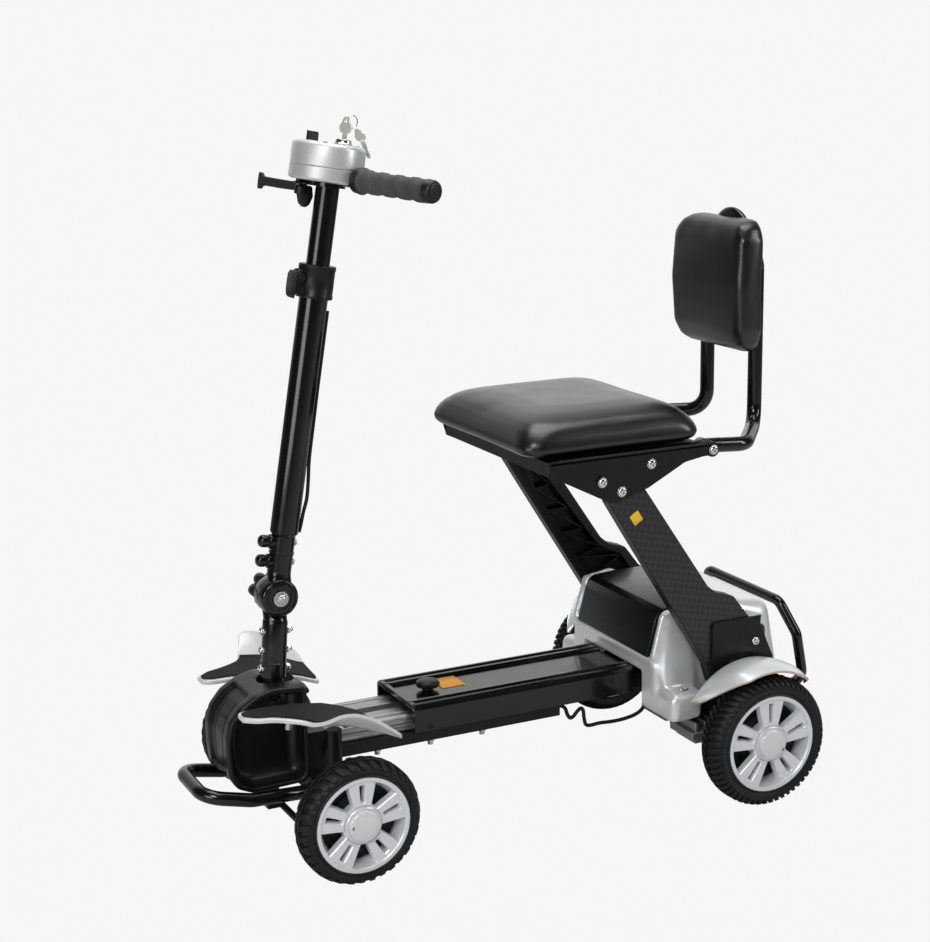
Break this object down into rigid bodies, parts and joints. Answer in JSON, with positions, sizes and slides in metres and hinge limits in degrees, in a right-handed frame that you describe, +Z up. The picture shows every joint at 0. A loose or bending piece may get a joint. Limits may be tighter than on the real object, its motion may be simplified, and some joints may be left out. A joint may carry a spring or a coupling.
{
  "type": "folding mobility scooter",
  "caption": "Compact folding mobility scooter with a padded seat and backrest, adjustable tiller with round console, sliding deck, footrests and spoked wheels.",
  "frame": {"origin": "floor level, at the centre of the bounding box in plan", "axes": "+X forward, +Y to the rider's left, +Z up"},
  "size_m": [0.971, 0.521, 1.0208],
  "materials": {
    "black_paint": "gloss powder coat",
    "satin_black": "satin powder coat",
    "silver_paint": "satin silver",
    "steel": "plain zinc-plated steel",
    "chrome": "bright plate",
    "aluminium": "as extruded",
    "cast_alloy": "painted casting",
    "tyre": "moulded tread",
    "rubber": "ribbed",
    "black_plastic": "textured",
    "gloss_black": "semi-gloss",
    "gloss_silver": "painted plastic",
    "leatherette": "smooth"
  },
  "bodies": {
    "chassis": {"deck_box": "black_paint", "rear_frame": "satin_black", "rear_housing": "gloss_silver", "battery_cover": "gloss_black", "battery_pack": "black_plastic", "motor_controller": "aluminium", "drive_unit": "cast_alloy", "rear_fender_left": "gloss_silver", "rear_fender_right": "gloss_silver", "rear_handle": "black_paint", "chassis_bolts": "chrome", "loop_cable": "rubber"},
    "lock_knob": {"lock_knob": "black_plastic"},
    "front_module": {"slide_rail": "aluminium", "slide_channel": "satin_black", "front_shell": "gloss_black", "front_beam": "satin_black", "bumper_loop": "black_paint", "footrest_left": "gloss_silver", "footrest_right": "gloss_silver", "foot_mat_left": "rubber", "foot_mat_right": "rubber", "front_bolts": "steel"},
    "knuckle_left": {"knuckle_left": "satin_black"},
    "knuckle_right": {"knuckle_right": "satin_black"},
    "tie_rod": {"tie_rod": "steel"},
    "front_wheel_left": {"front_tyre_left": "tyre", "front_rim_left": "silver_paint"},
    "front_wheel_right": {"front_tyre_right": "tyre", "front_rim_right": "silver_paint"},
    "rear_wheel_left": {"rear_tyre_left": "tyre", "rear_rim_left": "silver_paint", "half_shaft_left": "steel"},
    "rear_wheel_right": {"rear_tyre_right": "tyre", "rear_rim_right": "silver_paint", "half_shaft_right": "steel"},
    "stem": {"steer_stem": "satin_black", "stem_yoke": "black_paint", "stem_bolts": "chrome"},
    "star_knob": {"star_knob": "black_plastic"},
    "tiller": {"tiller_socket": "black_paint", "tiller_tube": "black_paint", "height_clamp": "black_plastic", "tiller_conduit": "rubber"},
    "clamp_lever": {"clamp_lever": "black_plastic"},
    "tiller_upper": {"handlebar_stem": "black_paint", "console_base": "gloss_silver", "console_cover": "gloss_silver", "grip_left": "rubber", "grip_right": "rubber"},
    "throttle": {"throttle_lever": "black_plastic"},
    "speed_knob": {"speed_knob": "black_plastic"},
    "ignition_key": {"ignition_key": "chrome"},
    "seat_arms": {"seat_arm_left": "satin_black", "seat_arm_right": "satin_black"},
    "seat": {"seat_frame": "satin_black", "seat_bolts": "chrome", "seat_cushion": "leatherette"},
    "backrest": {"back_frame": "black_paint", "back_pad": "leatherette"}
  },
  "joints": [
    {"name": "knob_lift", "type": "slide", "parent": "chassis", "child": "lock_knob", "axis": [0, 0, 1], "range_m": [0, 0.008], "stiffness_N_per_m": 600, "springref_m": -0.008},
    {"name": "front_slide", "type": "slide", "parent": "chassis", "child": "front_module", "axis": [-1, 0, 0], "range_m": [0, 0.08], "deforming": ["loop_cable"]},
    {"name": "steer", "type": "hinge", "parent": "front_module", "child": "stem", "pos_m": [0.33825, 0, 0.362], "axis": [-0.075, 0, 0.9972], "range_deg": [-30, 30]},
    {"name": "kingpin_left", "type": "hinge", "parent": "front_module", "child": "knuckle_left", "pos_m": [0.30425, 0.15, 0.09], "axis": [0, 0, 1], "range_deg": [-30, 30]},
    {"name": "kingpin_right", "type": "hinge", "parent": "front_module", "child": "knuckle_right", "pos_m": [0.30425, -0.15, 0.09], "axis": [0, 0, 1], "range_deg": [-30, 30]},
    {"name": "tie_rod_shift", "type": "slide", "parent": "front_module", "child": "tie_rod", "axis": [0, 1, 0], "range_m": [-0.0215, 0.0215]},
    {"name": "front_spin_left", "type": "hinge", "parent": "knuckle_left", "child": "front_wheel_left", "pos_m": [0.30425, 0.197, 0.09], "axis": [0, 1, 0], "continuous": true},
    {"name": "front_spin_right", "type": "hinge", "parent": "knuckle_right", "child": "front_wheel_right", "pos_m": [0.30425, -0.197, 0.09], "axis": [0, 1, 0], "continuous": true},
    {"name": "rear_spin_left", "type": "hinge", "parent": "chassis", "child": "rear_wheel_left", "pos_m": [-0.33675, 0.23, 0.1], "axis": [0, 1, 0], "continuous": true},
    {"name": "rear_spin_right", "type": "hinge", "parent": "chassis", "child": "rear_wheel_right", "pos_m": [-0.33675, -0.23, 0.1], "axis": [0, 1, 0], "continuous": true},
    {"name": "star_knob_turn", "type": "hinge", "parent": "stem", "child": "star_knob", "pos_m": [0.33825, 0, 0.362], "axis": [0, 1, 0], "continuous": true},
    {"name": "tiller_fold", "type": "hinge", "parent": "stem", "child": "tiller", "pos_m": [0.33825, 0, 0.362], "axis": [0, 1, 0], "range_deg": [-34, 0]},
    {"name": "clamp_open", "type": "hinge", "parent": "tiller", "child": "clamp_lever", "pos_m": [0.29134, 0, 0.80396], "axis": [0, 1, 0], "range_deg": [-90, 0]},
    {"name": "height_slide", "type": "slide", "parent": "tiller", "child": "tiller_upper", "axis": [-0.1702, 0, 0.9854], "range_m": [-0.065, 0.06]},
    {"name": "throttle_turn", "type": "hinge", "parent": "tiller_upper", "child": "throttle", "pos_m": [0.27447, -0.016, 0.91928], "axis": [-0.1702, 0, 0.9854], "range_deg": [-25, 0], "stiffness_Nm_per_rad": 0.5, "springref_deg": 17.19},
    {"name": "speed_turn", "type": "hinge", "parent": "tiller_upper", "child": "speed_knob", "pos_m": [0.25986, 0, 0.99794], "axis": [-0.1702, 0, 0.9854], "range_deg": [-135, 135]},
    {"name": "key_turn", "type": "hinge", "parent": "tiller_upper", "child": "ignition_key", "pos_m": [0.21453, 0, 0.99011], "axis": [-0.1702, 0, 0.9854], "range_deg": [0, 90]},
    {"name": "seat_fold", "type": "hinge", "parent": "chassis", "child": "seat_arms", "pos_m": [-0.35975, 0, 0.233], "axis": [0, 1, 0], "range_deg": [0, 40]},
    {"name": "seat_level", "type": "hinge", "parent": "seat_arms", "child": "seat", "pos_m": [-0.12675, 0, 0.493], "axis": [0, 1, 0], "range_deg": [-40, 0]},
    {"name": "back_fold", "type": "hinge", "parent": "seat", "child": "backrest", "pos_m": [-0.28075, 0, 0.537], "axis": [0, 1, 0], "range_deg": [0, 86]}
  ],
  "couplings": [
    {"joint": "kingpin_left", "follows": "steer", "ratio": 1},
    {"joint": "kingpin_right", "follows": "steer", "ratio": 1},
    {"joint": "tie_rod_shift", "follows": "steer", "m_per_rad": 0.04},
    {"joint": "seat_level", "follows": "seat_fold", "ratio": -1}
  ]
}
